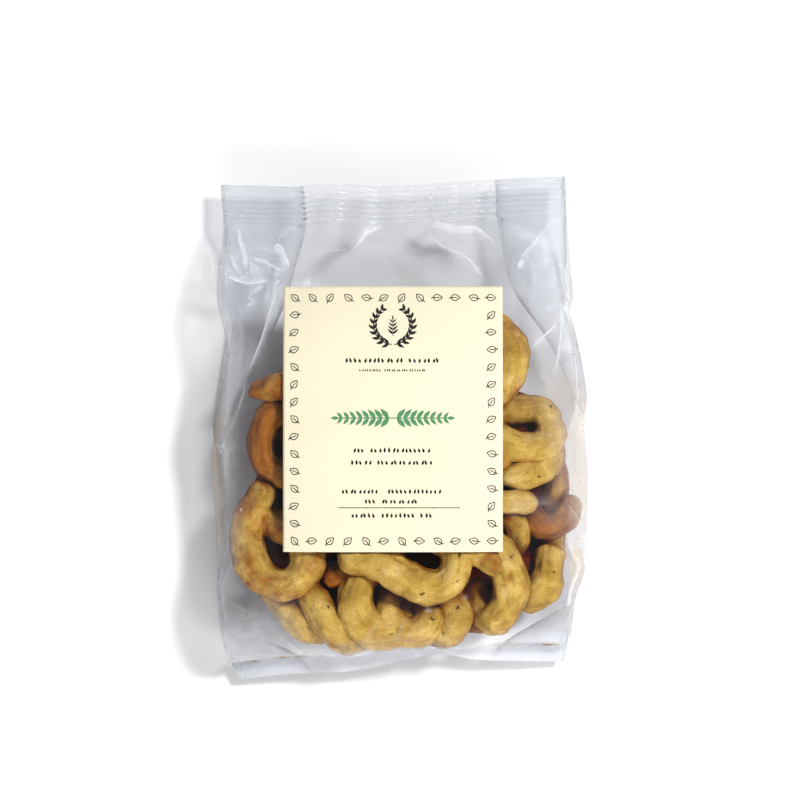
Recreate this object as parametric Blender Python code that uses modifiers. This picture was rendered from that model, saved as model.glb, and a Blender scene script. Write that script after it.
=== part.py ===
"""Bag of taralli: a clear film bag with pleated sides, filled, sealed and labelled.

It lies on its back with its front up, and its crimped top seal points to +Y. The origin is on the
floor, under the middle of the bag's bounding box.
Run with: blender --background --python part.py
"""

from math import cos, exp, hypot, pi, sin

import bmesh
import bpy
from mathutils import Vector
from mathutils.bvhtree import BVHTree

# Units: every size below is in millimetres
MM = 0.001

# Bag as a whole
BAG_THICKNESS = 45.0
FILM_GAP = 0.4

# Outline of the bag seen from the front, as a few places that a smooth curve passes through
LEFT_EDGE = (
    (-106.3, -67.5), (-100.2, -71.2), (-70.6, -75.7), (-35.0, -77.4), (-7.8, -79.2),
    (33.0, -76.3), (65.7, -75.5), (80.9, -74.0), (102.7, -75.5),
)
RIGHT_EDGE = (
    (-98.7, 69.2), (-91.8, 71.0), (-70.8, 72.7), (-55.2, 77.6), (-21.6, 78.6),
    (-2.0, 77.6), (7.1, 79.2), (40.5, 76.0), (66.0, 70.9), (106.3, 69.6),
)
TOP_EDGE = (
    (-75.5, 102.7), (-57.0, 102.2), (-43.0, 101.9), (-33.0, 103.2), (-22.0, 103.1),
    (-10.0, 102.2), (32.0, 104.4), (69.6, 106.3),
)
BOTTOM_EDGE = (
    (-67.5, -106.3), (-46.7, -103.5), (-20.8, -102.2), (0.0, -97.9), (17.0, -95.1),
    (33.0, -97.5), (69.2, -98.7),
)

# Crimped top seal: film pressed between ribbed jaws, four layers deep where the pleats are
SEAL_DEPTH = 16.0
SEAL_HEIGHT = 15.0
SEAL_DROOP = 2.0
SEAL_THICKNESS = 1.0
SEAL_PLEAT_THICKNESS = 1.5
SEAL_PLEAT_WIDTH = 35.0
RIB_COUNT = 7
RIB_RISE = 0.45
SEAL_WAVE_RISE = 0.8
SEAL_WAVE_LENGTH = 38.0

# Flat weld along the bottom, which bends down under the biscuits right of the middle
WELD_DEPTH = 7.5
WELD_TUCK = 4.5
WELD_TUCK_PLACE = 17.0
WELD_TUCK_WIDTH = 18.0
WELD_HEIGHT = 13.0
WELD_CORNER_DROOP = 7.0

# How squarely the bag fills out behind the two ends, on the front and on the back
BOTTOM_END_POWER = 6.0
BOTTOM_END_ROUNDNESS = 2.2
TOP_END_POWER = 3.2
TOP_END_ROUNDNESS = 1.4
BACK_FLATNESS = 1.12

# Cross-section: front panel, side pleats and back panel
FRONT_EDGE_SHARE = 0.76
FRONT_INSET_LEFT = 6.0
FRONT_INSET_RIGHT = 11.0
BACK_INSET = 15.0
BACK_EDGE_LIFT = 2.0
SIDE_BULGE = 2.5
CUT_EDGE_BULGE = 0.3
PLEAT_DEPTH = 13.0

# Where the sides change, as shares of the way from the middle of the body to either end
SIDE_NARROWS = 0.36
SIDE_SHUT = 0.68
PLEAT_START = 0.60
PLEAT_FULL = 0.86
PLEAT_END = 0.93

# Taralli that press on the front film: middle, half width and half length
PRESSING_TARALLI = (
    (-51.3, -45.5, 19.0, 24.0), (-47.0, -5.0, 17.0, 17.0), (-43.0, 22.0, 15.0, 12.0),
    (37.0, 29.0, 17.0, 19.0), (52.0, 0.5, 19.0, 15.0), (58.0, -37.0, 15.0, 13.0),
    (59.0, -60.0, 10.0, 17.0), (42.0, -62.0, 14.0, 23.0), (10.0, -56.0, 20.0, 18.0),
    (-14.0, -76.0, 15.0, 15.0), (-46.0, -78.0, 14.0, 12.0), (5.0, -79.0, 11.0, 12.0),
    (25.0, -77.0, 11.0, 14.0),
)
PRESS_RISE = 2.2
PRESS_SINK = 1.0

# Paper label on the front
LABEL_WIDTH = 90.3
LABEL_LENGTH = 109.2
LABEL_MIDDLE = (-2.9, 4.2)
LABEL_THICKNESS = 0.5

# Fineness of the meshes
BODY_ROWS = 38
ROW_GATHERING = 0.7
WELD_ROWS = 2
COLUMNS = 32
LABEL_COLUMNS = 14
LABEL_ROWS = 17


def clear_scene():
    for thing in list(bpy.data.objects):
        bpy.data.objects.remove(thing, do_unlink=True)


def make_collection(name):
    collection = bpy.data.collections.new(name)
    bpy.context.scene.collection.children.link(collection)
    return collection


def make_material(name, color, roughness, alpha=1.0):
    material = bpy.data.materials.new(name)
    material.use_nodes = True
    shader = material.node_tree.nodes["Principled BSDF"]
    shader.inputs["Base Color"].default_value = (*color, 1.0)
    shader.inputs["Roughness"].default_value = roughness
    shader.inputs["Metallic"].default_value = 0.0
    shader.inputs["Alpha"].default_value = alpha
    material.diffuse_color = (*color, alpha)
    return material


def mix(a, b, share):
    return a + (b - a) * share


def smooth_step(start, end, value):
    share = min(1.0, max(0.0, (value - start) / (end - start)))
    return share * share * (3.0 - 2.0 * share)


def curve_through(points, place):
    """Height at a place on the smooth curve through the points, without overshoot between them."""
    gaps = [b[0] - a[0] for a, b in zip(points, points[1:])]
    rises = [(b[1] - a[1]) / gap for a, b, gap in zip(points, points[1:], gaps)]
    slopes = [rises[0]]
    for before, after in zip(rises, rises[1:]):
        level = before * after <= 0.0
        slopes.append(0.0 if level else 2.0 * before * after / (before + after))
    slopes.append(rises[-1])
    place = min(max(place, points[0][0]), points[-1][0])
    i = max(k for k in range(len(gaps)) if points[k][0] <= place)
    share = (place - points[i][0]) / gaps[i]
    bend_start = slopes[i] * gaps[i] * share * (1.0 - share) ** 2
    bend_end = -slopes[i + 1] * gaps[i] * share ** 2 * (1.0 - share)
    return mix(points[i][1], points[i + 1][1], smooth_step(0.0, 1.0, share)) + bend_start + bend_end


def end_fill(along):
    """How full the bag is along its length, from 0 to 1: along is -1 at the weld and 1 at the seal."""
    power = BOTTOM_END_POWER if along < 0.0 else TOP_END_POWER
    roundness = BOTTOM_END_ROUNDNESS if along < 0.0 else TOP_END_ROUNDNESS
    return (1.0 - min(1.0, abs(along)) ** power) ** (1.0 / roundness)


def weld_depth(x):
    return WELD_DEPTH - WELD_TUCK * exp(-(((x - WELD_TUCK_PLACE) / WELD_TUCK_WIDTH) ** 2))


def weld_height(x):
    half_width = RIGHT_EDGE[0][1]
    return WELD_HEIGHT - WELD_CORNER_DROOP * min(1.0, abs(x) / half_width) ** 3


def seal_height(x, depth):
    """Middle height of the top seal, which droops towards its cut edge and waves from side to side."""
    droop = SEAL_DROOP * (1.0 - depth / SEAL_DEPTH)
    wave = SEAL_WAVE_RISE * sin(2.0 * pi * x / SEAL_WAVE_LENGTH)
    return SEAL_HEIGHT - droop + wave


def seal_thickness(x):
    outermost = TOP_EDGE[0][0] if x < 0.0 else TOP_EDGE[-1][0]
    pleat_edge = abs(outermost) - SEAL_PLEAT_WIDTH
    share = smooth_step(pleat_edge - 3.0, pleat_edge + 3.0, abs(x))
    return mix(SEAL_THICKNESS, SEAL_PLEAT_THICKNESS, share)


def in_label(x, y, margin):
    """1 under the label, falling to 0 at the margin outside it: the paper holds the film flat."""
    outside_x = max(0.0, abs(x - LABEL_MIDDLE[0]) - LABEL_WIDTH / 2)
    outside_y = max(0.0, abs(y - LABEL_MIDDLE[1]) - LABEL_LENGTH / 2)
    return 1.0 - smooth_step(0.0, margin, hypot(outside_x, outside_y))


def pressed_out(x, y):
    """Rise of the front film over the taralli that touch it, and its dip between them."""
    total = 0.0
    for middle_x, middle_y, half_x, half_y in PRESSING_TARALLI:
        reach = ((x - middle_x) / half_x) ** 2 + ((y - middle_y) / half_y) ** 2
        total += max(0.0, 1.0 - reach / 1.6) ** 4
    loose = 1.0 - in_label(x, y, 9.0)
    return loose * (PRESS_RISE * min(1.0, total ** 0.25) - PRESS_SINK)


def pleated_side(upper, lower, edge, outward, pleat, bulge):
    """Three points down one side: it folds in between the panels as a pleat, or bulges out where full."""
    middle_z = mix(lower[1], upper[1], 0.5)
    fold_x = edge - outward * pleat
    if pleat < bulge:
        fold_x += outward * CUT_EDGE_BULGE
    above = (mix(upper[0], fold_x, 0.5) + outward * bulge, mix(upper[1], middle_z, 0.5))
    below = (mix(lower[0], fold_x, 0.5) + outward * bulge, mix(lower[1], middle_z, 0.5))
    return [above, (fold_x, middle_z), below]


def section(left, right, front, back, along):
    """One cross-section, clockwise from the front's left edge, as (x, z) pairs.

    front and back give the height of the two films at x. along is -1 at the weld and 1 at the seal.
    """
    full = end_fill(along)
    side_open = full * (1.0 - smooth_step(SIDE_NARROWS, SIDE_SHUT, abs(along)))
    pleat = PLEAT_DEPTH * smooth_step(PLEAT_START, PLEAT_FULL, abs(along))
    pleat *= 1.0 - smooth_step(PLEAT_END, 1.0, abs(along))
    bulge = mix(CUT_EDGE_BULGE, SIDE_BULGE, side_open)
    front_ends = (left + FRONT_INSET_LEFT * side_open, right - FRONT_INSET_RIGHT * side_open)
    back_ends = (left + BACK_INSET * side_open, right - BACK_INSET * side_open)

    front_row = []
    back_row = []
    for k in range(COLUMNS + 1):
        to_edge = abs(2.0 * k / COLUMNS - 1.0)
        x = mix(*front_ends, k / COLUMNS)
        crown = 1.0 - (1.0 - FRONT_EDGE_SHARE) * full * to_edge ** 3
        front_row.append((x, mix(back(x), front(x), crown)))
        x = mix(*back_ends, k / COLUMNS)
        back_row.append((x, back(x) + BACK_EDGE_LIFT * full * to_edge ** 10))

    right_side = pleated_side(front_row[-1], back_row[-1], right, 1.0, pleat, bulge)
    left_side = pleated_side(front_row[0], back_row[0], left, -1.0, pleat, bulge)
    return front_row + right_side + back_row[::-1] + left_side[::-1]


def row_points(y_at, front, back, along):
    """The points of one row of the bag, whose place along the bag is a function of x."""
    left = curve_through(LEFT_EDGE, y_at(BOTTOM_EDGE[0][0]))
    right = curve_through(RIGHT_EDGE, y_at(BOTTOM_EDGE[-1][0]))
    return [(x, y_at(x), z) for x, z in section(left, right, front, back, along)]


def body_row(share):
    """One row of the filled body, from the weld (share 0) to the seal (share 1)."""
    along = 2.0 * share - 1.0
    full = end_fill(along)
    back_full = min(1.0, BACK_FLATNESS * full)

    def y_at(x):
        weld = curve_through(BOTTOM_EDGE, x) + weld_depth(x)
        seal = curve_through(TOP_EDGE, x) - SEAL_DEPTH
        return mix(weld, seal, share)

    def middle(x):
        return mix(weld_height(x), seal_height(x, SEAL_DEPTH), share)

    def half_thickness(x):
        return mix(SEAL_THICKNESS, seal_thickness(x), share) / 2

    def front(x):
        seam = middle(x) + half_thickness(x)
        return seam + (BAG_THICKNESS - seam + pressed_out(x, y_at(x))) * full

    def back(x):
        return (middle(x) - half_thickness(x)) * (1.0 - back_full)

    return row_points(y_at, front, back, along)


def flat_row(y_at, height_at, thickness_at, along):
    """One row of a flat end, the weld or the seal."""

    def front(x):
        return height_at(x) + thickness_at(x) / 2

    def back(x):
        return height_at(x) - thickness_at(x) / 2

    return row_points(y_at, front, back, along)


def bag_rows():
    """All rows of the bag from the bottom cut edge to the top cut edge."""
    rows = []
    for k in range(WELD_ROWS):

        def y_at(x, share=k / WELD_ROWS):
            return curve_through(BOTTOM_EDGE, x) + weld_depth(x) * share

        rows.append(flat_row(y_at, weld_height, lambda x: SEAL_THICKNESS, -1.0))

    # Rows of the body stand closer together towards its two steep ends
    for k in range(BODY_ROWS + 1):
        even = k / BODY_ROWS
        gathered = 0.5 - 0.5 * cos(pi * even)
        rows.append(body_row(mix(even, gathered, ROW_GATHERING)))

    # Each rib of the seal is one raised row and one sunk row
    rib_rows = 2 * RIB_COUNT
    for k in range(1, rib_rows + 1):
        depth = SEAL_DEPTH * (1.0 - k / rib_rows)
        rib = RIB_RISE if k % 2 else -RIB_RISE

        def y_at(x, depth=depth):
            return curve_through(TOP_EDGE, x) - depth

        def height_at(x, depth=depth, rib=rib):
            return seal_height(x, depth) + rib

        rows.append(flat_row(y_at, height_at, seal_thickness, 1.0))
    return rows


def close_end(mesh, ring):
    """Closes a flat end between its front row and its back row."""
    last = COLUMNS
    front = ring[: last + 1]
    back = ring[last + 4 : 2 * last + 5][::-1]
    right_side = ring[last + 1 : last + 4]
    left_side = ring[2 * last + 5 :]
    for k in range(last):
        mesh.faces.new((front[k], front[k + 1], back[k + 1], back[k]))
    mesh.faces.new((front[last], *right_side, back[last]))
    mesh.faces.new((back[0], *left_side, front[0]))


def make_bag(collection):
    """The sealed bag, as one closed solid out to the film."""
    mesh = bmesh.new()
    rings = [[mesh.verts.new(Vector(point) * MM) for point in row] for row in bag_rows()]
    for below, above in zip(rings, rings[1:]):
        for k in range(len(below)):
            after = (k + 1) % len(below)
            mesh.faces.new((below[k], below[after], above[after], above[k]))
    close_end(mesh, rings[0])
    close_end(mesh, rings[-1])
    bmesh.ops.recalc_face_normals(mesh, faces=mesh.faces)

    # The flat underside needs no inner edges
    bmesh.ops.dissolve_limit(mesh, angle_limit=0.0005, verts=mesh.verts, edges=mesh.edges)

    # The bounding box stands on the floor with its middle over the origin
    low = Vector(min(vert.co[i] for vert in mesh.verts) for i in range(3))
    high = Vector(max(vert.co[i] for vert in mesh.verts) for i in range(3))
    middle = (low + high) / 2
    bmesh.ops.translate(mesh, verts=mesh.verts, vec=(-middle.x, -middle.y, -low.z))
    bmesh.ops.triangulate(mesh, faces=mesh.faces)

    data = bpy.data.meshes.new("bag")
    mesh.to_mesh(data)
    mesh.free()
    data.shade_smooth()
    data.materials.append(make_material("clear polypropylene film", (0.79, 0.82, 0.88), 0.12, alpha=0.35))
    bag = bpy.data.objects.new("bag", data)
    collection.objects.link(bag)
    return bag


def make_label(collection, bag):
    """The paper label, a thin sheet that follows the film under it."""
    mesh = bmesh.new()
    bmesh.ops.create_grid(mesh, x_segments=LABEL_COLUMNS, y_segments=LABEL_ROWS, size=0.5)
    whole = bmesh.new()
    whole.from_mesh(bag.data)
    film = BVHTree.FromBMesh(whole)
    above = 2.0 * BAG_THICKNESS * MM
    for vert in mesh.verts:
        x = (LABEL_MIDDLE[0] + vert.co.x * LABEL_WIDTH) * MM
        y = (LABEL_MIDDLE[1] + vert.co.y * LABEL_LENGTH) * MM
        touch = film.ray_cast(Vector((x, y, above)), Vector((0.0, 0.0, -1.0)))[0]
        vert.co = (x, y, touch.z + FILM_GAP * MM)
    whole.free()

    data = bpy.data.meshes.new("label")
    mesh.to_mesh(data)
    mesh.free()
    data.materials.append(make_material("cream coated paper", (0.99, 0.95, 0.74), 0.55))
    label = bpy.data.objects.new("label", data)
    collection.objects.link(label)
    sheet = label.modifiers.new("paper thickness", "SOLIDIFY")
    sheet.thickness = LABEL_THICKNESS * MM
    sheet.offset = 1.0
    return label


def main():
    clear_scene()
    collection = make_collection("taralli_bag")
    bag = make_bag(collection)
    make_label(collection, bag)


main()
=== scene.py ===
"""A sealed clear film bag of taralli with a paper label, lying on its back on a white table."""

import random
from functools import partial

import bmesh
import bpy
import numpy as np
from mathutils import Matrix, Vector
from mathutils.bvhtree import BVHTree


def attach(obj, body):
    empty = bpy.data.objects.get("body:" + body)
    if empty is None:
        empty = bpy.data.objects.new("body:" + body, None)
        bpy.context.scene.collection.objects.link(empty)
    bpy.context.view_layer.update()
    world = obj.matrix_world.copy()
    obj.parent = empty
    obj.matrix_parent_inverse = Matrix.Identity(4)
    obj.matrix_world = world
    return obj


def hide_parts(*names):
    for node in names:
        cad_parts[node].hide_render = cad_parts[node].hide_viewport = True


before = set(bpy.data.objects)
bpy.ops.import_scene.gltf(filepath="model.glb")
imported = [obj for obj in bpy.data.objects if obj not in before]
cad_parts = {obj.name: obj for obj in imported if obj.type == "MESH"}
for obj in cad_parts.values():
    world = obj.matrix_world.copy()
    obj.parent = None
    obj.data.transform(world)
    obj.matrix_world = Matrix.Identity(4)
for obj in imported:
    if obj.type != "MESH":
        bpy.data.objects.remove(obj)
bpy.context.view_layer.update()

# The photograph and the table
# It was taken from straight above, a little over a metre up, with a long lens. The table is matt white
# board. A softbox at the upper right throws a pale shadow to the left of the bag, the walls of the room
# are white, and the ceiling over the camera is dark, so that the film shows nothing where it lies flat.
MM = 0.001
PHOTO_SIDE = 800.0
MM_PER_PIXEL = 0.42
OUTLINE_HEIGHT = 17.0
CAMERA_HEIGHT = 1200.0
CAMERA_OVER_Y = 12.0
SENSOR = 36.0
pixels_deep = (CAMERA_HEIGHT - OUTLINE_HEIGHT) / MM_PER_PIXEL


def linear(hex_colour):
    """An sRGB hex colour as linear red, green, blue and alpha."""
    parts = [int(hex_colour[i : i + 2], 16) / 255.0 for i in (1, 3, 5)]
    return [p / 12.92 if p <= 0.04045 else ((p + 0.055) / 1.055) ** 2.4 for p in parts] + [1.0]


def add_node(tree, kind, inputs=None, stops=(), **settings):
    """Adds one node and gives its outputs. An input takes a value or a socket, and stops colour a ramp."""
    node = tree.nodes.new("ShaderNode" + kind)
    for name, value in settings.items():
        setattr(node, name, value)
    while stops and len(node.color_ramp.elements) < len(stops):
        node.color_ramp.elements.new(0.5)
    for k, (at, colour) in enumerate(stops):
        node.color_ramp.elements[k].position = at
        node.color_ramp.elements[k].color = linear(colour)
    for name, value in (inputs or {}).items():
        if isinstance(value, bpy.types.NodeSocket):
            tree.links.new(value, node.inputs[name])
        else:
            node.inputs[name].default_value = value
    return node.outputs


def across(size_mm):
    """The scale of a pattern whose patches are size_mm wide."""
    return 1.0 / (size_mm * MM)


def new_material(name):
    """An empty material, and add_node bound to it."""
    material = bpy.data.materials.new(name)
    material.use_nodes = True
    material.node_tree.nodes.clear()
    return material, partial(add_node, material.node_tree)


def add_piece(name, mesh, replaced=None):
    """Puts a mesh in the scene as one piece of the bag."""
    piece = bpy.data.objects.new(name, mesh)
    bpy.context.scene.collection.objects.link(piece)
    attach(piece, "root")
    if replaced:
        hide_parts(replaced)
    return piece


camera_data = bpy.data.cameras.new("camera")
camera_data.sensor_width = SENSOR
camera_data.lens = SENSOR * pixels_deep / PHOTO_SIDE
camera_data.clip_end = 10.0
camera = bpy.data.objects.new("camera", camera_data)
camera.location = (0.0, CAMERA_OVER_Y * MM, CAMERA_HEIGHT * MM)
bpy.context.scene.collection.objects.link(camera)
bpy.context.scene.camera = camera
bpy.context.scene.view_settings.view_transform = "Standard"
bpy.context.scene.view_settings.look = "None"


def softbox(name, place, size, watts, mirrored):
    """A square light at a place in metres, aimed at the bag. It is mirrored, or else it lights things."""
    light = bpy.data.lights.new(name, "AREA")
    light.shape = "SQUARE"
    light.size = size
    light.energy = watts
    lamp = bpy.data.objects.new(name, light)
    lamp.location = place
    lamp.rotation_euler = (-Vector(place)).to_track_quat("-Z", "Y").to_euler()
    lamp.visible_glossy = mirrored
    lamp.visible_diffuse = not mirrored
    bpy.context.scene.collection.objects.link(lamp)


softbox("key_softbox", (0.76, 0.54, 1.35), 0.24, 23.0, False)
softbox("front_fill", (0.10, -1.5, 0.85), 1.0, 23.0, False)
softbox("glint_upper_left", (-0.75, 0.95, 1.15), 0.45, 4.0, True)
softbox("glint_upper_right", (0.80, 0.90, 1.15), 0.35, 1.2, True)

# The white walls give way to the dark ceiling between two steepnesses of the way that light comes from
WALLS = 0.30
CEILING = 0.05
CEILING_STARTS = 0.72
CEILING_FULL = 0.93
world = bpy.data.worlds.new("white_room_under_a_dark_ceiling")
world.use_nodes = True
add = partial(add_node, world.node_tree)
way = add("TexCoord")["Generated"]
steepness = add("SeparateXYZ", {"Vector": way})["Z"]
glow = add(
    "MapRange", interpolation_type="SMOOTHSTEP", inputs={
        "Value": steepness, "From Min": CEILING_STARTS, "From Max": CEILING_FULL,
        "To Min": WALLS, "To Max": CEILING,
    },
)["Result"]
background = world.node_tree.nodes["Background"]
background.inputs["Color"].default_value = linear("#FAFBFF")
world.node_tree.links.new(glow, background.inputs["Strength"])
bpy.context.scene.world = world

# Its tooth is finer than a millimetre, and is drawn 2.5 mm wide so that it shows
board, add = new_material("matt_white_board")
place = add("TexCoord")["Object"]
grain = add("TexNoise", {"Vector": place, "Scale": across(2.5)})["Fac"]
tooth = add("Bump", {"Height": grain, "Strength": 0.05, "Distance": 0.2 * MM})["Normal"]
surface = add(
    "BsdfPrincipled", {"Normal": tooth, "Base Color": linear("#F8F8F8"), "Roughness": 0.9},
)["BSDF"]
add("OutputMaterial", {"Surface": surface})

TABLE_HALF = 3.0
mesh = bpy.data.meshes.new("table")
corners = [(-1, -1), (1, -1), (1, 1), (-1, 1)]
mesh.from_pydata([(x * TABLE_HALF, y * TABLE_HALF, -0.0002) for x, y in corners], [], [(0, 1, 2, 3)])
mesh.materials.append(board)
table = bpy.data.objects.new("table", mesh)
bpy.context.scene.collection.objects.link(table)


# The form of the filled bag
# A pillow 45 mm thick, whose front film stands over the whole length between a flat weld and a crimped
# seal, and rounds down at both ends. All outlines are lists of places in millimetres.
BAG_THICKNESS = 45.0
LEFT_EDGE = (
    (-106.3, -67.5), (-100.2, -71.2), (-70.6, -75.7), (-35.0, -77.4), (-7.8, -79.2),
    (33.0, -76.3), (65.7, -75.5), (80.9, -74.0), (102.7, -75.5),
)
RIGHT_EDGE = (
    (-98.7, 69.2), (-91.8, 71.0), (-70.8, 72.7), (-55.2, 77.6), (-21.6, 78.6),
    (-2.0, 77.6), (7.1, 79.2), (40.5, 76.0), (66.0, 70.9), (106.3, 69.6),
)
TOP_EDGE = (
    (-75.5, 102.7), (-57.0, 102.2), (-43.0, 101.9), (-33.0, 103.2), (-22.0, 103.1),
    (-10.0, 102.2), (32.0, 104.4), (69.6, 106.3),
)
BOTTOM_EDGE = (
    (-67.5, -106.3), (-46.7, -103.5), (-20.8, -102.2), (0.0, -97.9), (17.0, -95.1),
    (33.0, -97.5), (69.2, -98.7),
)
SEAL_DEPTH = 16.0
SEAL_HEIGHT = 15.0
SEAL_DROOP = 2.0
WELD_DEPTH = 7.5
WELD_HEIGHT = 13.0
FRONT_INSET_LEFT = 6.0
FRONT_INSET_RIGHT = 11.0
BACK_INSET = 15.0
LABEL_WIDTH = 90.3
LABEL_LENGTH = 109.2
LABEL_MIDDLE = (-2.9, 4.2)
LABEL_MARGIN = 5.0


def mix(a, b, share):
    return a + (b - a) * share


def smooth_step(start, end, value):
    share = np.clip((value - start) / (end - start), 0.0, 1.0)
    return share * share * (3.0 - 2.0 * share)


def curve_through(points, places):
    """Heights at many places on the smooth curve through the points, without overshoot between them."""
    xs, ys = (np.array(column) for column in zip(*points))
    gaps = np.diff(xs)
    rises = np.diff(ys) / gaps
    before, after = rises[:-1], rises[1:]
    level = before * after <= 0.0
    inner = np.where(level, 0.0, 2.0 * before * after / np.where(level, 1.0, before + after))
    slopes = np.concatenate(([rises[0]], inner, [rises[-1]]))
    places = np.clip(places, xs[0], xs[-1])
    i = np.clip(np.searchsorted(xs, places, side="right") - 1, 0, len(gaps) - 1)
    share = (places - xs[i]) / gaps[i]
    rest = 1.0 - share
    bend = slopes[i] * gaps[i] * share * rest**2 - slopes[i + 1] * gaps[i] * share**2 * rest
    return mix(ys[i], ys[i + 1], share * share * (3.0 - 2.0 * share)) + bend


def end_fill(along):
    """How full the bag is along its length: along is -1 at the weld and 1 at the seal."""
    power = np.where(along < 0.0, 6.0, 3.2)
    roundness = np.where(along < 0.0, 2.2, 1.4)
    return (1.0 - np.minimum(1.0, abs(along)) ** power) ** (1.0 / roundness)


def weld_line(x):
    return curve_through(BOTTOM_EDGE, x) + WELD_DEPTH - 4.5 * np.exp(-(((x - 17.0) / 18.0) ** 2))


def weld_height(x):
    return WELD_HEIGHT - 7.0 * np.minimum(1.0, abs(x) / 71.0) ** 3


def seal_line(x):
    return curve_through(TOP_EDGE, x) - SEAL_DEPTH


def seal_height(x, depth):
    return SEAL_HEIGHT - SEAL_DROOP * (1.0 - depth / SEAL_DEPTH) + 0.8 * np.sin(2.0 * np.pi * x / 38.0)


def film_heights(x, share, left, right):
    """Heights of the two panels at x, a share of the way from the weld line to the seal line."""
    along = 2.0 * share - 1.0
    full = end_fill(along)
    between = mix(weld_height(x), seal_height(x, SEAL_DEPTH), share)
    opened = full * (1.0 - smooth_step(0.36, 0.68, abs(along)))
    start, end = left + FRONT_INSET_LEFT * opened, right - FRONT_INSET_RIGHT * opened
    to_edge = np.minimum(1.0, abs(2.0 * (x - start) / (end - start) - 1.0))
    front = between + (BAG_THICKNESS - between) * full
    back = between * (1.0 - np.minimum(1.0, 1.12 * full))
    return mix(back, front, 1.0 - 0.24 * full * to_edge**3), back


def label_share(x, y):
    """1 under the label, falling to 0 over a margin round it."""
    outside_x = np.maximum(0.0, abs(x - LABEL_MIDDLE[0]) - LABEL_WIDTH / 2)
    outside_y = np.maximum(0.0, abs(y - LABEL_MIDDLE[1]) - LABEL_LENGTH / 2)
    return 1.0 - smooth_step(0.0, LABEL_MARGIN, np.hypot(outside_x, outside_y))


# The taralli
# Each is a rope of oily dough about 14 mm thick, rolled by hand, bent into a ring with its two ends
# crossed and pressed together, boiled, and baked until golden. No two have the same size or bend.
RING_STEPS = 90
ROPE_SIDES = 24
FINE_VOXEL = 0.65
COARSE_VOXEL = 1.15
FILM_CLEARANCE = 0.5
BULGE_ALLOWED = 1.2
LABEL_ALLOWED = -0.6
SOFT_TOUCH = 0.4
LOWEST_DOUGH = 0.6


def spline_at(points, count):
    """Points evenly spread in parameter along a smooth curve through the points."""
    padded = [2 * points[0] - points[1], *points, 2 * points[-1] - points[-2]]
    spans = len(points) - 1
    curve = []
    for k in range(count):
        along = k / (count - 1) * spans
        i = min(int(along), spans - 1)
        t = along - i
        a, b, c, d = padded[i : i + 4]
        place = (2 * b) + (c - a) * t
        place += (2 * a - 5 * b + 4 * c - d) * t * t
        place += (3 * b - a - 3 * c + d) * t**3
        curve.append(0.5 * place)
    return curve


def lying_ring(at, half_width, half_length, neck, rope, turn, leans):
    """The middle line of a ring at a place, turned and leaned by degrees, its ends crossed at the neck."""
    side, lap, meet = 0.9 * rope, 0.42 * rope, 0.35 * rope
    flat = [
        (-side, neck + 2.0, lap), (meet, neck - 0.3 * rope, lap),
        (0.80 * half_width, 0.55 * half_length, 0.3 * lap),
        (half_width, 0.0, 0.0), (0.74 * half_width, -0.70 * half_length, 0.0), (0.0, -half_length, 0.0),
        (-0.74 * half_width, -0.70 * half_length, 0.0), (-half_width, 0.0, 0.0),
        (-0.80 * half_width, 0.55 * half_length, -0.3 * lap), (-meet, neck - 0.3 * rope, -lap),
        (side, neck + 1.0, -lap),
    ]
    lean = Matrix.Rotation(np.radians(leans[0]), 3, "X") @ Matrix.Rotation(np.radians(leans[1]), 3, "Y")
    lean = lean @ Matrix.Rotation(np.radians(turn), 3, "Z")
    return [tuple(lean @ Vector(point) + Vector(at)) for point in flat]


def swept_rope(line, rope, swell, tip):
    """Corners and faces of a tube along the line, whose ends round off over tip times its radius."""
    steps = [0.0] + [(b - a).length for a, b in zip(line, line[1:])]
    lengths = np.cumsum(steps)
    total = lengths[-1]
    corners = []
    faces = []
    across = Vector((0.0, 0.0, 1.0))
    for k, point in enumerate(line):
        ahead = (line[min(k + 1, len(line) - 1)] - line[max(k - 1, 0)]).normalized()
        across = (across - ahead * across.dot(ahead)).normalized()
        other = ahead.cross(across)
        to_tip = min(lengths[k], total - lengths[k])
        radius = rope * (0.86 + 0.15 * min(1.0, to_tip / (3.0 * rope)))
        radius *= 1.0 + 0.05 * np.sin(4.0 * np.pi * lengths[k] / total + swell)
        blunt = min(1.0, to_tip / (tip * radius))
        radius *= max(0.12, np.sqrt(1.0 - (1.0 - blunt) ** 2))
        for s in range(ROPE_SIDES):
            angle = 2.0 * np.pi * s / ROPE_SIDES
            corners.append(point + (across * np.cos(angle) * 0.95 + other * np.sin(angle)) * radius)
        if k:
            base = (k - 1) * ROPE_SIDES
            for s in range(ROPE_SIDES):
                t = (s + 1) % ROPE_SIDES
                faces.append((base + s, base + t, base + ROPE_SIDES + t, base + ROPE_SIDES + s))
    faces.append(tuple(range(ROPE_SIDES))[::-1])
    faces.append(tuple(range(len(corners) - ROPE_SIDES, len(corners))))
    return corners, faces


def waves(points, length, dice, count=16):
    """A smooth unevenness between about -1 and 1 at many points, made of waves that cross at random."""
    ways = dice.normal(size=(count, 3))
    ways /= np.linalg.norm(ways, axis=1, keepdims=True)
    turns = ways * (2.0 * np.pi / (length * dice.uniform(0.7, 1.5, (count, 1))))
    return np.sin(points @ turns.T + dice.uniform(0.0, 2.0 * np.pi, count)).sum(axis=1) * 0.9 / np.sqrt(count)


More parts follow.
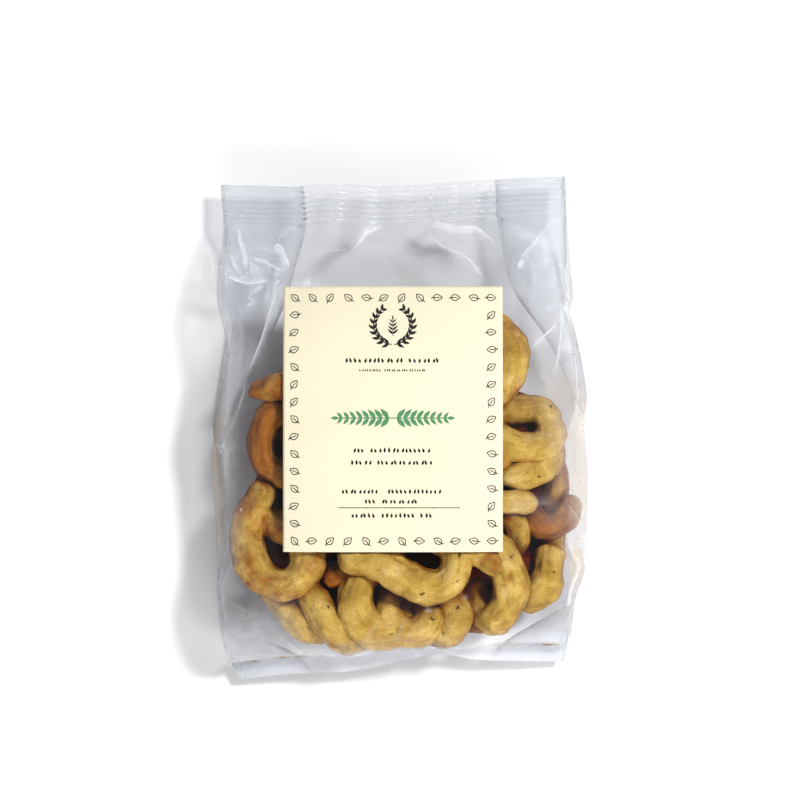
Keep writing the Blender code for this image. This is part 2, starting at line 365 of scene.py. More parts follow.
def fused(corners, faces, voxel):
    """The closed skin of a lump of dough, as one even mesh."""
    mesh = bpy.data.meshes.new("raw_dough")
    mesh.from_pydata([corner * MM for corner in corners], [], faces)
    lump = bpy.data.objects.new("raw_dough", mesh)
    bpy.context.scene.collection.objects.link(lump)
    fuse = lump.modifiers.new("fuse", "REMESH")
    fuse.mode = "VOXEL"
    fuse.voxel_size = voxel * MM
    relax = lump.modifiers.new("relax", "SMOOTH")
    relax.factor = 0.6
    relax.iterations = 5
    skin = bpy.data.meshes.new_from_object(lump.evaluated_get(bpy.context.evaluated_depsgraph_get()))
    bpy.data.objects.remove(lump)
    bpy.data.meshes.remove(mesh)
    return skin


def read_points(mesh, of_normals=False):
    values = np.empty(len(mesh.vertices) * 3)
    if of_normals:
        mesh.vertex_normals.foreach_get("vector", values)
    else:
        mesh.vertices.foreach_get("co", values)
    return values.reshape(-1, 3)


def baked_dough():
    """Oiled, baked wheat dough: pale gold with streaks along the rope, browned on ends, with herb flecks and
    painted shade.
    """
    material, add = new_material("oiled_wheat_dough_baked")
    place = add("TexCoord")["Object"]
    rolled = add("Attribute", attribute_name="rolled")["Vector"]
    browning = add("Attribute", attribute_name="browning")["Fac"]
    painted_shade = add("Attribute", attribute_name="painted_shade")["Fac"]
    broad, patches, streaks, toast, grain, wrinkles, blisters, oil = (
        add(
            "TexNoise", {"Vector": vector, "Scale": across(size), "Detail": detail, "Roughness": rough},
        )["Fac"]
        for vector, size, detail, rough in (
            (place, 9.0, 4.0, 0.55), (place, 5.0, 4.0, 0.55), (rolled, 2.6, 4.0, 0.65),
            (rolled, 2.2, 3.0, 0.55), (place, 0.8, 4.0, 0.75), (rolled, 1.1, 3.0, 0.55),
            (place, 2.6, 2.0, 0.55), (place, 3.0, 3.0, 0.55),
        )
    )
    broad = add("Math", {0: broad, 1: 0.7}, operation="MULTIPLY")[0]
    streaked = add("Math", {0: streaks, 1: 0.3, 2: broad}, operation="MULTIPLY_ADD")[0]
    patchy = add("Math", {0: patches, 1: 1.2, 2: browning}, operation="MULTIPLY_ADD")[0]
    brown_share = add(
        "MapRange", {"Value": patchy, "From Min": 0.80, "From Max": 1.55},
        interpolation_type="SMOOTHSTEP",
    )["Result"]
    # The last ramp is painted shade: dough sunk between its neighbours, or turned from the top, goes olive,
    # brown and dark red
    crumb, toasted, speckle, painted_shade_colour = (
        add("ValToRGB", {"Fac": source}, stops)["Color"]
        for source, stops in (
            (streaked, ((0.35, "#A67E2E"), (0.45, "#C09A42"), (0.55, "#D6B056"), (0.66, "#E8C678"))),
            (toast, ((0.35, "#86460A"), (0.65, "#AC681C"))),
            (grain, ((0.30, "#C4B08C"), (0.52, "#FFFFFF"))),
            (painted_shade, ((0.0, "#FFFFFF"), (0.28, "#CCB478"), (0.60, "#9A582C"), (1.0, "#802810"))),
        )
    )

    # Flecks of herb up to 1 mm long, 5.5 mm apart, torn out of round by a finer noise
    torn = add("TexNoise", {"Vector": place, "Scale": across(1.1)})["Color"]
    shifted = add("Mix", {0: 0.0030, 6: place, 7: torn}, data_type="RGBA", blend_type="ADD")[2]
    flecks = add("TexVoronoi", {"Vector": shifted, "Scale": across(5.5)})
    pick = add("SeparateColor", {"Color": flecks["Color"]})
    reach = add("Math", {0: pick["Green"], 1: 0.20}, operation="MULTIPLY")[0]
    near = add("Math", {0: flecks["Distance"], 1: reach}, operation="LESS_THAN")[0]
    chosen = add("Math", {0: pick["Red"], 1: 0.55}, operation="GREATER_THAN")[0]
    dense = add("Math", {0: chosen, 1: 0.85}, operation="MULTIPLY")[0]
    herb_share = add("Math", {0: near, 1: dense}, operation="MULTIPLY")[0]

    skin = crumb
    for share, over, kind in (
        (brown_share, toasted, "MIX"), (0.7, speckle, "MULTIPLY"), (1.0, painted_shade_colour, "MULTIPLY"),
        (herb_share, linear("#33270C"), "MIX"),
    ):
        skin = add("Mix", {0: share, 6: skin, 7: over}, data_type="RGBA", blend_type=kind)[2]

    bumps = add("Math", {0: wrinkles, 1: 0.8, 2: blisters}, operation="MULTIPLY_ADD")[0]
    relief = add("Bump", {"Height": bumps, "Strength": 0.7, "Distance": 0.8 * MM})["Normal"]
    shine = add(
        "MapRange", {"Value": oil, "From Min": 0.3, "From Max": 0.7, "To Min": 0.42, "To Max": 0.66},
    )["Result"]
    # Painted shade also takes the dough's reflection away where it lies sunk
    specular_outside_shade = add("MapRange", {"Value": painted_shade, "To Min": 0.42, "To Max": 0.0})["Result"]
    surface = add(
        "BsdfPrincipled",
        {"Base Color": skin, "Roughness": shine, "Normal": relief, "Specular IOR Level": specular_outside_shade},
    )["BSDF"]
    add("OutputMaterial", {"Surface": surface})
    return material


dough = baked_dough()


def room_under_film(x, y):
    """How high a piece may stand: the label lies flat over it, elsewhere it may lift the film a little."""
    share = np.clip((y - weld_line(x)) / (seal_line(x) - weld_line(x)), 0.02, 0.98)
    film_z = film_heights(x, share, curve_through(LEFT_EDGE, y), curve_through(RIGHT_EDGE, y))[0]
    return film_z - FILM_CLEARANCE + mix(BULGE_ALLOWED, LABEL_ALLOWED, label_share(x, y))


def make_tarallo(name, path, rope, brown, tip=0.9, voxel=FINE_VOXEL):
    """One baked tarallo, fused, wrinkled and browned: a rope of a radius along a path, in millimetres."""
    seed = random.Random(name)
    dice = np.random.default_rng(seed.randrange(10**9))
    path = np.array(path, dtype=float)
    path[:, 2] = np.minimum(path[:, 2], room_under_film(path[:, 0], path[:, 1]) - rope)
    line = spline_at([Vector(point) for point in path], RING_STEPS)
    skin = fused(*swept_rope(line, rope, seed.uniform(0.0, 6.28), tip), voxel)
    points = read_points(skin) / MM
    normals = read_points(skin, of_normals=True)

    middle = np.array([tuple(point) for point in line])
    gaps = np.linalg.norm(points[:, None, :] - middle[None, :, :], axis=2)
    nearest = gaps.argmin(axis=1)
    travelled = np.concatenate(([0.0], np.cumsum(np.linalg.norm(np.diff(middle, axis=0), axis=1))))
    ahead = np.gradient(middle, axis=0)
    ahead /= np.linalg.norm(ahead, axis=1, keepdims=True)
    off = points - middle[nearest]
    upright = np.cross(ahead[nearest], (0.0, 0.0, 1.0))
    rolled = np.stack((travelled[nearest] / 6.0, off[:, 2], (off * upright).sum(axis=1)), 1)

    relief = 0.50 * waves(points, 15.0, dice) + 0.30 * waves(points, 6.0, dice)
    relief += 0.14 * waves(rolled, 2.6, dice)
    to_tip = np.minimum(gaps[:, 0], gaps[:, -1])
    toast = brown + 0.40 * np.exp(-((to_tip / (1.1 * rope)) ** 2)) + 0.22 * waves(points, 17.0, dice)
    toast += 0.25 * np.maximum(0.0, -normals[:, 2] - 0.6) + 0.06 * normals[:, 2]

    points += normals * relief[:, None]
    room = room_under_film(points[:, 0], points[:, 1])
    points[:, 2] = room - SOFT_TOUCH * np.logaddexp(0.0, (room - points[:, 2]) / SOFT_TOUCH)
    points[:, 2] = np.maximum(points[:, 2], LOWEST_DOUGH)

    skin.vertices.foreach_set("co", (points * MM).ravel())
    skin.attributes.new("browning", "FLOAT", "POINT").data.foreach_set("value", toast)
    skin.attributes.new("rolled", "FLOAT_VECTOR", "POINT").data.foreach_set("vector", (rolled * MM).ravel())
    skin.shade_smooth()
    skin.materials.append(dough)
    skin.update()
    return add_piece(name, skin, "bag")


# Those that show through the front. Each line is radius, browning and how long the ends taper, and then
# the middle of the rope from place to place, as the photograph gives it
SHOWN = {
    "left_ring": (7.1, 0.4, 0.9, (
        (-55.8, -22.3, 36), (-58.2, -28.1, 37), (-61.5, -34.2, 37.5), (-63.2, -41.7, 37),
        (-63.2, -49.5, 36.5), (-60.3, -57.8, 36), (-53.7, -63.2, 35.5), (-46.3, -63.7, 35),
        (-40.1, -59.6, 34.5), (-38.1, -52.6, 34), (-40.2, -46.0, 33), (-45.7, -41.5, 31),
        (-51.6, -39.1, 29), (-57.5, -34.6, 27),
    )),
    "left_middle": (5.9, 0.8, 0.9, (
        (-41.6, 7.0, 29), (-49.0, 7.4, 31), (-55.2, 3.3, 32), (-57.6, -4.6, 32), (-56.9, -12.5, 31),
        (-51.9, -17.9, 30), (-44.9, -19.2, 29), (-38.7, -14.2, 28), (-37.1, -5.9, 27), (-39.6, 1.2, 25),
        (-45.5, 4.5, 24),
    )),
    "left_top": (6.4, 0.8, 2.4, (
        (-63.0, 15.7, 33), (-60.0, 15.7, 34), (-52.1, 17.4, 36), (-45.9, 19.0, 36), (-39.7, 22.7, 36),
        (-33.1, 25.2, 34), (-27.7, 21.9, 34), (-28.2, 15.3, 33), (-34.0, 12.0, 31), (-40.7, 14.1, 29),
    )),
    "right_top": (7.0, 0.32, 0.9, (
        (32.3, 12.0, 32), (40.2, 14.9, 34), (44.7, 21.9, 35), (46.7, 31.4, 35), (43.4, 38.9, 35),
        (36.8, 42.6, 34), (29.4, 39.3, 33), (26.9, 31.1, 33), (30.3, 22.8, 31), (36.6, 18.7, 28),
    )),
    "right_ring": (6.9, 0.0, 0.9, (
        (40.7, 4.5, 29), (47.5, 7.4, 27), (55.4, 7.8, 25), (60.9, 4.9, 26.5), (62.7, -0.9, 29.2),
        (59.6, -6.6, 34.5), (52.4, -7.8, 38), (44.1, -6.6, 38), (38.0, -1.6, 36), (37.4, 4.5, 31),
        (43.0, 8.2, 24),
    )),
    "right_under_ring": (6.4, 0.0, 0.9, (
        (43.0, -9.7, 25), (41.2, -15.4, 29), (47.3, -19.1, 32), (55.5, -18.2, 33), (61.4, -14.6, 31),
        (62.3, -8.9, 23), (57.5, -3.9, 18), (50.4, -2.3, 17), (45.4, -4.8, 17),
    )),
    "right_edge": (5.8, 0.6, 0.9, (
        (58.8, -9.9, 16), (64.2, -14.0, 18), (65.0, -21.5, 19), (63.4, -28.7, 18), (58.0, -32.6, 16),
        (51.8, -31.4, 14), (49.3, -25.5, 13), (52.3, -19.2, 13),
    )),
    "right_sliver": (5.0, 0.45, 0.9, (
        (41.3, -18.1, 38), (40.9, -11.5, 37), (38.1, -5.0, 34), (33.1, -0.4, 33), (27.3, -2.9, 33),
        (25.7, -8.7, 33), (29.0, -13.3, 33), (34.9, -13.7, 31),
    )),
    "right_finger": (5.0, 0.05, 1.8, (
        (57.2, -30.3, 33), (53.4, -30.2, 34), (48.0, -30.2, 35), (41.3, -30.6, 36), (34.7, -32.2, 37),
        (28.1, -30.5, 37), (24.4, -25.2, 36), (26.5, -19.4, 35), (32.3, -17.4, 33), (37.4, -20.4, 31),
    )),
    "right_brown": (6.0, 0.9, 1.3, (
        (70.6, -28.0, 23.5), (70.6, -32.5, 24), (69.0, -37.1, 24), (65.4, -40.1, 24.5), (60.9, -40.5, 25.5),
        (56.3, -38.5, 25), (52.7, -33.6, 21), (54.6, -28.3, 17), (60.6, -25.9, 14), (65.8, -28.5, 12),
    )),
    "right_arm": (5.7, 0.35, 0.9, (
        (41.6, -33.8, 27), (47.0, -37.9, 28), (49.1, -44.2, 27), (47.1, -50.2, 25), (41.4, -53.2, 22),
        (35.6, -49.9, 21), (34.3, -43.3, 21), (38.5, -37.9, 20),
    )),
    "right_oval": (7.4, 0.0, 0.6, (
        (63.3, -48.4, 27), (62.8, -53.3, 28.5), (62.3, -58.6, 29.5), (60.7, -63.7, 28.5),
        (57.6, -67.3, 25), (53.2, -69.3, 20), (48.3, -67.4, 16), (45.5, -62.1, 14), (46.3, -56.2, 14),
    )),
    "right_arch": (7.4, 0.26, 0.9, (
        (29.1, -37.0, 30), (34.4, -42.3, 32), (39.8, -49.7, 33.5), (44.3, -57.5, 34.5),
        (46.3, -65.3, 35), (44.7, -72.5, 33.5), (40.3, -78.1, 30), (35.1, -76.9, 24), (32.7, -70.9, 20),
        (33.1, -63.5, 19), (36.5, -56.8, 18),
    )),
    "middle_nub": (5.5, 0.34, 0.9, (
        (43.3, -58.1, 38), (39.2, -55.6, 39), (34.6, -53.1, 39), (28.0, -50.3, 38.5), (22.7, -46.6, 37),
        (21.5, -40.9, 36), (25.6, -36.4, 36), (31.9, -36.8, 34), (34.9, -42.0, 31),
    )),
    "middle_ring": (7.4, 0.08, 0.9, (
        (-25.6, -54.1, 36), (-20.6, -54.0, 38), (-13.2, -54.4, 39), (-5.4, -56.5, 38), (1.7, -61.5, 37),
        (9.9, -65.2, 37), (18.2, -64.0, 37), (23.5, -57.4, 37), (22.3, -49.1, 37), (15.7, -43.3, 37),
        (7.9, -42.1, 36), (0.4, -45.1, 34), (-5.4, -51.1, 31),
    )),
    "middle_end": (5.8, 0.85, 0.9, (
        (-31.6, -62.8, 30), (-27.4, -61.5, 31), (-22.4, -59.1, 29), (-17.1, -56.8, 26),
        (-12.1, -54.9, 22), (-6.7, -57.5, 20), (-5.0, -63.5, 19),
    )),
    "bottom_middle_left": (7.5, 0.0, 0.9, (
        (-5.0, -53.0, 26), (-10.8, -56.6, 29), (-16.2, -62.7, 31.5), (-18.7, -70.5, 32),
        (-17.4, -78.1, 31), (-12.0, -83.5, 30), (-5.0, -84.5, 28), (1.3, -81.1, 24), (2.5, -73.8, 21),
        (-1.3, -67.6, 20),
    )),
    "bottom_left_inner": (7.0, 0.05, 0.9, (
        (-41.8, -59.8, 24), (-37.9, -66.3, 27), (-34.1, -73.2, 29), (-30.3, -79.5, 29),
        (-25.0, -85.0, 27), (-19.2, -87.0, 23), (-14.3, -83.6, 19), (-13.0, -77.0, 17),
        (-16.8, -71.2, 16), (-23.1, -68.7, 16),
    )),
    "bottom_left": (6.8, 0.02, 0.9, (
        (-57.1, -63.5, 18), (-52.3, -69.2, 21), (-47.6, -74.5, 23), (-43.0, -79.4, 24),
        (-38.0, -83.3, 23), (-33.2, -82.8, 18), (-30.7, -77.2, 15), (-33.7, -71.4, 14),
        (-40.0, -68.0, 14),
    )),
    "bottom_middle": (7.0, 0.16, 0.9, (
        (-1.3, -66.4, 25), (-4.6, -72.2, 25.5), (-3.7, -79.6, 27.5), (1.2, -84.0, 29), (7.9, -84.0, 29),
        (12.5, -78.8, 27), (10.4, -72.3, 24), (4.6, -69.2, 21),
    )),
    "bottom_middle_right": (7.1, 0.18, 0.9, (
        (15.9, -66.5, 24), (21.2, -70.5, 26.5), (24.1, -76.2, 27.5), (22.9, -81.8, 26),
        (17.6, -84.6, 22), (12.2, -82.4, 18), (11.3, -76.7, 16), (15.1, -71.7, 16),
    )),
}
taralli = [
    make_tarallo(f"tarallo_{name}", path, rope, brown, tip)
    for name, (rope, brown, tip, path) in SHOWN.items()
]

# Those behind the label, which hold it out, and the two layers under all of these
HIDDEN_LAYERS = (
    ("behind_label", 33.0, 6.0, ((-15.0, -28.0), (9.0, -20.0), (-18.0, 4.0), (12.0, 10.0), (-10.0, 29.0))),
    ("middle", 19.0, 10.0, (
        (-44.0, -45.0), (-22.0, -46.0), (2.0, -48.0), (33.0, -70.0), (28.0, -42.0), (-42.0, -10.0),
        (-14.0, -12.0), (14.0, -8.0), (44.0, -8.0), (-27.0, 20.0), (2.0, 22.0), (31.0, 20.0),
        (-2.0, -74.0), (-33.0, -66.0), (-43.0, -28.0), (52.0, -47.0),
    )),
    ("lowest", 8.6, 2.0, (
        (-41.0, -62.0), (-15.0, -61.4), (13.0, -64.6), (41.0, -63.0), (-42.7, -32.0), (-20.0, -34.0),
        (8.0, -32.0), (36.0, -32.0), (45.2, -43.0), (-38.0, 0.0), (-12.0, 4.0), (18.0, 4.0), (46.0, -2.0),
        (-22.0, 30.0), (8.0, 32.0), (33.0, 28.0),
    )),
)
rng = random.Random(41)
for layer, height, lean, spots in HIDDEN_LAYERS:
    for k, (x, y) in enumerate(spots):
        width = rng.uniform(9.8, 11.4)
        rope = rng.uniform(6.2, 6.9)
        at = (x + rng.uniform(-1.5, 1.5), y + rng.uniform(-1.5, 1.5), height)
        length = width * rng.uniform(0.98, 1.10)
        neck = rng.uniform(12.5, 14.5)
        turn = rng.uniform(0.0, 360.0)
        leans = (rng.uniform(-lean, lean), rng.uniform(-lean, lean))
        path = lying_ring(at, width, length, neck, rope, turn, leans)
        brown = rng.uniform(0.2, 0.8)
        taralli.append(make_tarallo(f"tarallo_{layer}_{k + 1}", path, rope, brown, voxel=COARSE_VOXEL))

# The tops of the pile as a map of heights. Shade is painted into the dough's colour: where it lies sunk
# between its neighbours it is made dark and red, as the light that reaches it has already been coloured by
# theirs
CELL = 0.8
MAP_HALF = 120.0
NOTHING = -1.0e3
BLUR_STEPS = 50
tops = np.full((int(2 * MAP_HALF / CELL) + 1,) * 2, NOTHING)
for piece in taralli:
    points = read_points(piece.data) / MM
    cells = np.rint((points[:, :2] + MAP_HALF) / CELL).astype(int)
    np.maximum.at(tops, (cells[:, 0], cells[:, 1]), points[:, 2])
spread = np.pad(tops, 1, constant_values=NOTHING)
rows, cols = tops.shape
tops = np.max([spread[i : i + rows, j : j + cols] for i in range(3) for j in range(3)], axis=0)
around = np.maximum(tops, 0.0)
for _ in range(BLUR_STEPS):
    for axis in (0, 1):
        around = 0.5 * around + 0.25 * (np.roll(around, 1, axis) + np.roll(around, -1, axis))
for piece in taralli:
    points = read_points(piece.data) / MM
    cells = np.rint((points[:, :2] + MAP_HALF) / CELL).astype(int)
    below = around[cells[:, 0], cells[:, 1]] - points[:, 2]
    turned_away = 1.0 - read_points(piece.data, of_normals=True)[:, 2]
    # Painted shade: deeper below the neighbours' tops, a little on sides and undersides, none near the table
    painted_shade = smooth_step(0.5, 12.0, below) + 0.30 * smooth_step(0.15, 1.0, turned_away)
    painted_shade = np.minimum(1.0, painted_shade) * smooth_step(2.0, 9.0, points[:, 2])
    piece.data.attributes.new("painted_shade", "FLOAT", "POINT").data.foreach_set("value", painted_shade)


# The film bag
# One sheet of clear polypropylene, folded to a tube with a deep pleat down each side, filled, welded flat
# along the bottom, and crimped along the top between ribbed jaws. It is drawn over the taralli, and its
# folds turn white where they are sharp. Highlights, warm light and shade are also painted into its milk and
# tint.
SEAL_THICKNESS = 0.5
BACK_LIFT = 0.15
RIB_COUNT = 7
RIB_RISE = 0.20
FRONT_COLUMNS = 228
BACK_COLUMNS = 40
SIDE_STEPS = 9
WELD_ROWS = 8
BODY_ROWS = 236
SEAL_ROWS = 58
SLACK = 1.8
REACH_CELLS = 11.0
LOWEST_SAG = -4.0
RELAX_STEPS = 700


def ripples(x, y, length, count, seed):
    """A gentle unevenness in millimetres, made of a few long waves that cross at random."""
    places = np.stack((x.ravel(), y.ravel(), 0.0 * x.ravel()), 1)
    return waves(places, length, np.random.default_rng(seed), count).reshape(x.shape)


def fold_line(x, y, path):
    """How far places are from a bent line, on which side of it, and 1 along it, falling to 0 at its ends."""
    path = np.array(path)
    pieces = np.linalg.norm(np.diff(path, axis=0), axis=1)
    travelled = np.concatenate(([0.0], np.cumsum(pieces)))
    best = np.full(x.shape, 1.0e3)
    place = np.zeros(x.shape)
    side = np.zeros(x.shape)
    for k, length in enumerate(pieces):
        way = (path[k + 1] - path[k]) / length
        off_x, off_y = x - path[k][0], y - path[k][1]
        along = np.clip(off_x * way[0] + off_y * way[1], 0.0, length)
        gap = np.hypot(off_x - way[0] * along, off_y - way[1] * along)
        nearer = gap < best
        place = np.where(nearer, travelled[k] + along, place)
        side = np.where(nearer, np.sign(way[0] * off_y - way[1] * off_x), side)
        best = np.where(nearer, gap, best)
    part = place / travelled[-1]
    return best, side, smooth_step(-0.02, 0.25, part) * (1.0 - smooth_step(0.75, 1.02, part))


# Sharp folds that catch the light in the photograph: the path in millimetres, rise, width and whiteness.
# Each is sharp on the right of its path and fades to the left. Their white is partly the film's own stress
# whitening and partly a painted highlight
CREASES = (
    (((-68.0, 85.9), (-67.2, 79.2), (-64.7, 71.6), (-63.8, 64.1)), 0.5, 0.6, 0.8),
    (((-64.3, 72.1), (-54.6, 68.3), (-47.5, 64.5)), 0.6, 0.7, 0.8),
    (((-45.4, 65.8), (-47.9, 72.5), (-50.6, 76.7), (-55.0, 74.4)), 0.7, 1.7, 0.9),
    (((-73.5, 64.9), (-69.7, 62.4), (-63.0, 60.3), (-52.5, 61.6)), 0.7, 1.5, 0.9),
    (((-71.4, 73.7), (-70.6, 71.6), (-68.5, 66.6), (-64.5, 62.8)), 0.5, 0.8, 0.7),
    (((-51.4, 59.4), (-49.6, 61.8)), 0.3, 0.5, 0.7),
    (((-42.8, 74.2), (-30.0, 74.0), (-19.3, 74.6)), 0.2, 0.4, 0.3),
    (((-17.6, 74.2), (-0.8, 73.3)), 0.2, 0.4, 0.2),
    (((-19.3, 74.2), (-16.8, 77.9), (-13.4, 82.6), (-6.7, 84.7)), 0.8, 1.3, 0.85),
    (((-50.4, 58.2), (-54.2, 47.3), (-57.5, 36.4), (-63.0, 22.9)), 0.5, 1.2, 0.5),
    (((-63.0, 22.1), (-66.8, 8.6), (-74.3, -8.2)), 0.3, 0.5, 0.3),
    (((-76.0, -5.6), (-74.3, -9.8), (-72.7, -5.6)), 0.4, 0.6, 0.9),
    (((-64.0, 55.6), (-60.9, 52.5), (-64.5, 50.4)), 0.4, 0.5, 0.6),
    (((39.5, 77.5), (37.0, 79.6), (31.9, 84.2), (22.7, 84.6), (16.8, 86.3), (13.9, 85.1), (13.0, 82.0)),
      0.8, 1.6, 0.95),
    (((13.0, 82.6), (13.9, 79.2), (16.0, 76.7), (27.7, 70.8), (31.1, 66.6), (35.7, 60.7)), 0.4, 0.5, 0.6),
    (((68.2, 68.3), (69.0, 61.6), (70.0, 54.8)), 0.3, 0.6, 0.6),
    (((68.6, 57.4), (70.6, 52.0)), 0.3, 0.6, 0.7),
    (((65.9, 56.5), (66.8, 45.6), (65.9, 33.0), (63.0, 19.6)), 0.4, 0.6, 0.6),
    (((66.8, 45.6), (58.8, 38.0), (53.8, 33.0)), 0.5, 0.6, 0.55),
    (((58.8, 47.3), (65.9, 53.2)), 0.3, 0.5, 0.35),
    (((72.2, 39.7), (72.8, 30.5), (73.4, 17.9), (74.0, 8.6)), 0.3, 0.8, 0.6),
    (((54.6, 23.8), (63.0, 18.7), (74.0, 8.6)), 0.4, 0.8, 0.3),
    (((68.5, -30.0), (76.0, -40.0)), 0.3, 0.7, 0.5),
    (((-38.5, -96.4), (-47.0, -88.0), (-56.4, -81.0)), 0.3, 0.5, 0.35),
    (((-74.1, -70.2), (-59.6, -77.7)), 0.3, 0.5, 0.25),
)
# Soft painted sheens: white put into the film where it is only bent
PAINTED_SHEENS = (
    (((64.7, 89.3), (56.7, 79.2), (50.4, 71.6), (47.9, 66.6)), 0.8, 2.4, 0.45),
    (((50.8, 70.4), (48.2, 66.4)), 0.5, 1.5, 0.8),
    (((-63.0, 73.3), (-52.9, 74.6), (-47.9, 81.7), (-39.5, 85.9)), 0.5, 1.6, 0.4),
    (((-63.0, 54.8), (-55.4, 59.4)), 0.4, 1.6, 0.5),
    (((-71.5, 58.0), (-71.0, 30.0), (-72.0, 6.0)), 0.3, 1.0, 0.3),
    (((-67.0, 58.0), (-66.0, 36.0), (-68.0, 16.0)), 0.3, 1.0, 0.2),
    (((40.0, -36.5), (52.0, -31.5), (66.0, -31.0)), 0.2, 2.0, 0.2),
    (((10.0, -74.3), (13.4, -75.4)), 0.1, 0.5, 0.25), (((26.0, -68.4), (27.4, -70.4)), 0.1, 0.5, 0.2),
    (((54.0, 84.0), (52.0, 62.0)), 0.3, 1.6, 0.2),
    (((37.5, 78.6), (32.0, 82.8), (22.7, 82.6), (16.0, 83.6)), 0.3, 1.3, 0.6),
    (((-17.5, 76.5), (-13.0, 82.0), (-8.0, 83.8)), 0.2, 0.8, 0.6),
    (((-69.0, 63.6), (-62.5, 61.6), (-55.0, 61.8)), 0.2, 1.0, 0.7),
    (((-46.5, 68.0), (-49.4, 74.4), (-53.0, 75.0)), 0.2, 1.0, 0.7),
)
# Where small folds lie scattered: from and to along each axis, and how many
SMALL_FOLDS = (
    ((-72.0, -46.0), (52.0, 84.0), 20), ((46.0, 70.0), (44.0, 86.0), 16), ((-44.0, 44.0), (66.0, 84.0), 16),
    ((-76.0, -66.0), (-60.0, 50.0), 14), ((64.0, 76.0), (-60.0, 44.0), 10),
    ((-68.0, 66.0), (-94.0, -84.0), 16),
)
# Soft ridges that run down from the seal: place along it, slant, rise, width and reach in millimetres
PUCKERS = (
    (-41.0, 0.0, 0.8, 2.8, 9.0), (-27.0, 0.1, 0.8, 2.6, 9.0), (-13.5, 0.45, 1.0, 2.4, 20.0),
    (2.0, 0.0, 0.7, 2.6, 10.0), (22.0, -0.1, 1.5, 5.0, 14.0), (32.0, 0.0, 0.9, 2.4, 8.0),
    (55.0, 0.5, 1.2, 6.0, 18.0),
)
# Painted glints on the ribs of the seal: place along it, half width and share of white
PAINTED_RIB_GLINTS = (
    (-39.5, 2.2, 0.7), (-25.0, 2.2, 0.9), (-11.5, 3.6, 0.8), (4.5, 2.4, 0.5), (13.0, 1.0, 0.4),
    (22.0, 3.0, 0.5), (33.5, 1.8, 0.8), (38.5, 0.8, 0.7), (-66.0, 1.2, 0.3), (-52.0, 8.0, 0.15),
    (55.0, 9.0, 0.15),
)
# Milky patches, partly the film's own haze and partly painted light that brightens it: middle, half sizes,
# share of white, and share of painted warm light from the dough in it
MILKY_AND_PAINTED_LIGHT = (
    ((50.0, -31.5), (9.0, 3.0), 0.14, 0.5), ((66.0, -36.0), (9.0, 6.0), 0.10, 0.5),
    ((60.0, 77.0), (9.0, 12.0), 0.16, 0.0), ((-58.0, 68.0), (12.0, 16.0), 0.10, 0.0),
    ((-74.0, -10.0), (6.0, 70.0), 0.30, 0.0), ((70.0, 30.0), (7.0, 40.0), 0.20, 0.0),
    ((-60.0, -86.0), (15.0, 12.0), 0.34, 0.0), ((0.0, -97.0), (60.0, 5.0), 0.24, 0.0),
    ((74.0, -55.0), (5.0, 14.0), 0.35, 1.0), ((64.0, 15.0), (9.0, 7.0), 0.15, 0.8),
    ((75.0, -14.0), (5.0, 20.0), 0.40, 1.0),
)

# Rows run from the weld to the seal. The first and last bands of them are the two flat ends
even = np.linspace(0.0, 1.0, BODY_ROWS + 1)
zone = np.concatenate((np.zeros(WELD_ROWS), np.ones(BODY_ROWS + 1), np.full(SEAL_ROWS, 2)))
share = np.concatenate((
    np.arange(WELD_ROWS) / WELD_ROWS, mix(even, 0.5 - 0.5 * np.cos(np.pi * even), 0.6),
    np.arange(1, SEAL_ROWS + 1) / SEAL_ROWS,
))
body = zone == 1
in_weld, in_seal = zone == 0, zone == 2
along = np.where(in_weld, -1.0, np.where(in_seal, 1.0, 2.0 * share - 1.0))
full = end_fill(along)


def row_y(x):
    """The place along the bag of every row at x; x has one entry a row."""
    on_weld = mix(curve_through(BOTTOM_EDGE, x), weld_line(x), share)
    on_seal = mix(seal_line(x), curve_through(TOP_EDGE, x), share)
    return np.where(in_weld, on_weld, np.where(in_seal, on_seal, mix(weld_line(x), seal_line(x), share)))


left = curve_through(LEFT_EDGE, row_y(np.full_like(share, LEFT_EDGE[0][1])))
right = curve_through(RIGHT_EDGE, row_y(np.full_like(share, RIGHT_EDGE[0][1])))


def both_films(x):
    """Heights of the front and the back film of every row at x, before anything presses on them."""
    between = np.where(in_weld, 0.0, np.where(in_seal, 1.0, share))
    front, back = film_heights(x, between, left, right)
    droop = np.where(in_seal, seal_height(x, SEAL_DEPTH * (1.0 - share)) - seal_height(x, SEAL_DEPTH), 0.0)
    ribs = np.where(in_seal, RIB_RISE * np.sin(2.0 * np.pi * RIB_COUNT * share), 0.0)
    for start, slant, rise, wide, reach in PUCKERS:
        down = np.where(in_seal, 0.0, seal_line(x) - row_y(x))
        fade = np.where(in_weld, 0.0, np.exp(-((down / reach) ** 2)))
        ribs = ribs + rise * fade * np.exp(-(((x - start + slant * down) / wide) ** 2))
    apart = SEAL_THICKNESS / 2
    back = back + np.where(full > 0.5, 0.0, droop + ribs) - apart * (1.0 - full) + BACK_LIFT
    return front + droop + ribs + apart, back


opened = full * (1.0 - smooth_step(0.36, 0.68, abs(along)))
front_ends = left + FRONT_INSET_LEFT * opened, right - FRONT_INSET_RIGHT * opened
back_ends = left + BACK_INSET * opened, right - BACK_INSET * opened
columns = np.arange(FRONT_COLUMNS + 1) / FRONT_COLUMNS
front_x = np.stack([mix(*front_ends, c) for c in columns], axis=1)
front_y = np.stack([row_y(front_x[:, k]) for k in range(len(columns))], axis=1)
front_z = np.stack([both_films(front_x[:, k])[0] for k in range(len(columns))], axis=1)
to_edge = abs(2.0 * columns - 1.0)[None, :]

# The film rests on the tops of the pile like a sheet under tension
i = np.rint((front_x + MAP_HALF) / CELL).astype(int)
j = np.rint((front_y + MAP_HALF) / CELL).astype(int)
lowest = np.where(body[:, None], tops[i, j] + FILM_CLEARANCE - front_z, NOTHING)

